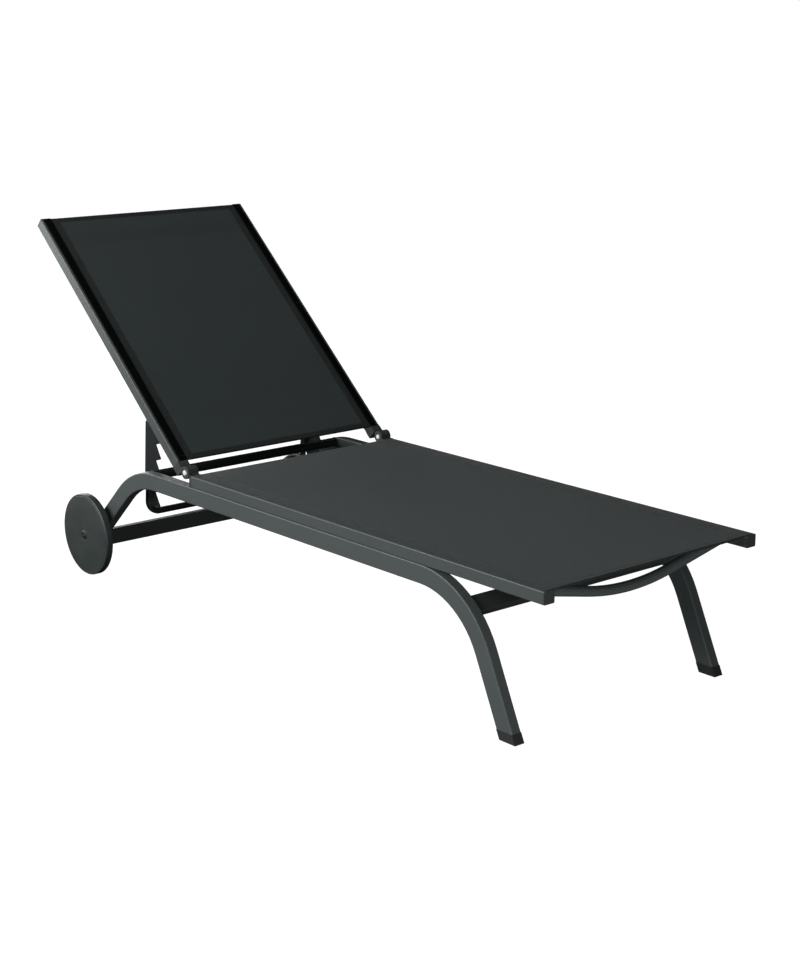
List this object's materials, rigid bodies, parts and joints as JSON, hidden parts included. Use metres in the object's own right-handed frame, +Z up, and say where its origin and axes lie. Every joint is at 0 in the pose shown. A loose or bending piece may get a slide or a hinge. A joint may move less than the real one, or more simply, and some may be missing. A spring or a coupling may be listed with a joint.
{
  "type": "reclining sun lounger",
  "caption": "Low outdoor lounger: sling seat and sling backrest on a bent-tube frame, with a toothed prop that sets the recline and wheels at the head end.",
  "frame": {"origin": "on the ground, under the centre of the bounding box of the stored pose", "axes": "+X towards the foot end, +Y to the left of a person lying on the back, +Z up"},
  "size_m": [1.791, 0.6902, 0.8574],
  "materials": {
    "coat": "anthracite powder coat on extruded aluminium, satin",
    "casting": "dark grey coated casting, satin",
    "steel": "bright stainless",
    "zinc": "black coated steel, satin",
    "plastic": "black moulded, fine texture",
    "wheel": "anthracite moulded, satin",
    "sling": "woven coated mesh, matt"
  },
  "bodies": {
    "base_frame": {"side_tube_left": "coat", "side_tube_right": "coat", "foot_shoe_left": "plastic", "foot_shoe_right": "plastic", "tube_plug_left": "plastic", "tube_plug_right": "plastic", "seat_rail_left": "coat", "seat_rail_right": "coat", "seat_rail_cap_left": "plastic", "seat_rail_cap_right": "plastic", "seat_keder_left": "plastic", "seat_keder_right": "plastic", "rail_screw_front_left": "steel", "rail_screw_front_right": "steel", "rail_screw_rear_left": "steel", "rail_screw_rear_right": "steel", "leg_bolt_left": "steel", "leg_bolt_right": "steel", "hinge_base_left": "casting", "hinge_base_right": "casting", "hinge_pin_left": "steel", "hinge_pin_right": "steel", "axle_bolt_left": "steel", "axle_bolt_right": "steel", "axle_spacer_left": "plastic", "axle_spacer_right": "plastic", "front_crossbar": "coat", "rear_crossbar": "coat", "catch_bar": "zinc", "foot_bow": "coat", "seat_sling": "sling", "seat_rod_head": "zinc", "seat_rod_foot": "zinc"},
    "backrest": {"back_rail_left": "coat", "back_rail_right": "coat", "back_rail_cap_left": "plastic", "back_rail_cap_right": "plastic", "back_keder_left": "plastic", "back_keder_right": "plastic", "hinge_arm_left": "casting", "hinge_arm_right": "casting", "prop_bracket_left": "coat", "prop_bracket_right": "coat", "prop_bush_left": "plastic", "prop_bush_right": "plastic", "prop_bolt_left": "steel", "prop_bolt_right": "steel", "back_stretcher": "coat", "back_sling": "sling", "back_rod_top": "zinc", "back_rod_lower": "zinc"},
    "prop": {"prop_tube": "zinc", "ratchet_plate_left": "zinc", "ratchet_plate_right": "zinc", "plate_rivet_left": "steel", "plate_rivet_right": "steel"},
    "wheel_left_unit": {"wheel_left": "wheel", "hub_cap_left": "plastic"},
    "wheel_right_unit": {"wheel_right": "wheel", "hub_cap_right": "plastic"}
  },
  "joints": [
    {"name": "recline", "type": "hinge", "parent": "base_frame", "child": "backrest", "pos_m": [-0.27109, 0, 0.327], "axis": [0, 1, 0], "range_deg": [-41.4, 33.6]},
    {"name": "prop_swing", "type": "hinge", "parent": "backrest", "child": "prop", "pos_m": [-0.51012, 0, 0.50574], "axis": [0, 1, 0], "range_deg": [-9, 11]},
    {"name": "wheel_left_spin", "type": "hinge", "parent": "base_frame", "child": "wheel_left_unit", "pos_m": [-0.66749, 0.325, 0.1015], "axis": [0, 1, 0], "continuous": true},
    {"name": "wheel_right_spin", "type": "hinge", "parent": "base_frame", "child": "wheel_right_unit", "pos_m": [-0.66749, -0.325, 0.1015], "axis": [0, 1, 0], "continuous": true}
  ],
  "couplings": [
    {"joint": "prop_swing", "follows": "recline", "ratio": -0.24}
  ]
}
